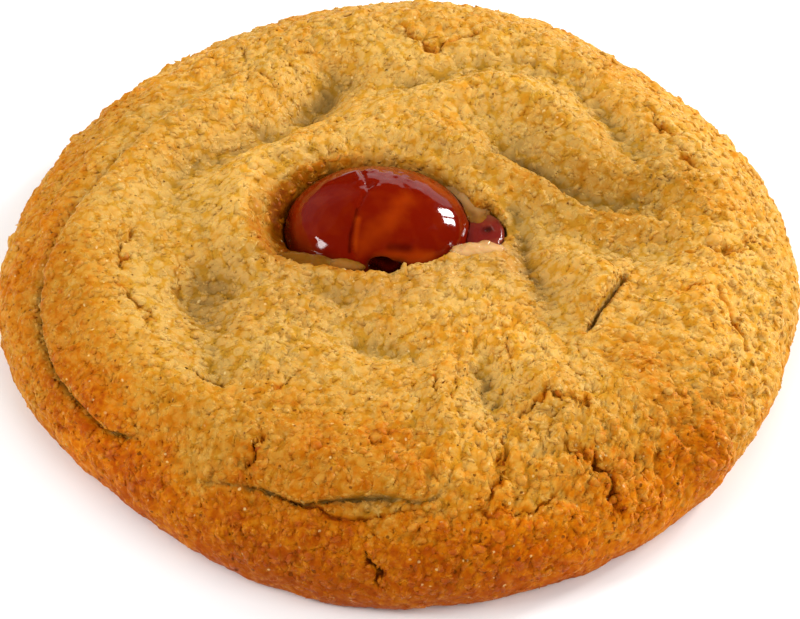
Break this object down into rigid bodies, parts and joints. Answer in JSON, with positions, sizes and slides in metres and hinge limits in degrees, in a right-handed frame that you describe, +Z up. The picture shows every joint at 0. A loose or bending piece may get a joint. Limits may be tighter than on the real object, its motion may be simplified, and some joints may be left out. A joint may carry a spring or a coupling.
{
  "type": "bakewell tart cookie",
  "caption": "Thick soft round cookie with folds and cracks in its crust, a glace cherry sunk in a hollow at the middle and a bead of jam beside it.",
  "frame": {"origin": "centre of the cookie's flat base", "axes": "+Z up out of the base, through the thickness; -Y towards the side with the long front fold"},
  "size_m": [0.0969, 0.0973, 0.0187],
  "materials": {
    "cookie": "baked crust, golden tan with browner edges, rough",
    "cherry": "dark red glace fruit, wet and translucent",
    "jam": "dark red jam, wet"
  },
  "bodies": {
    "root": {"cookie": "cookie", "cherry": "cherry", "jam": "jam"}
  },
  "joints": []
}
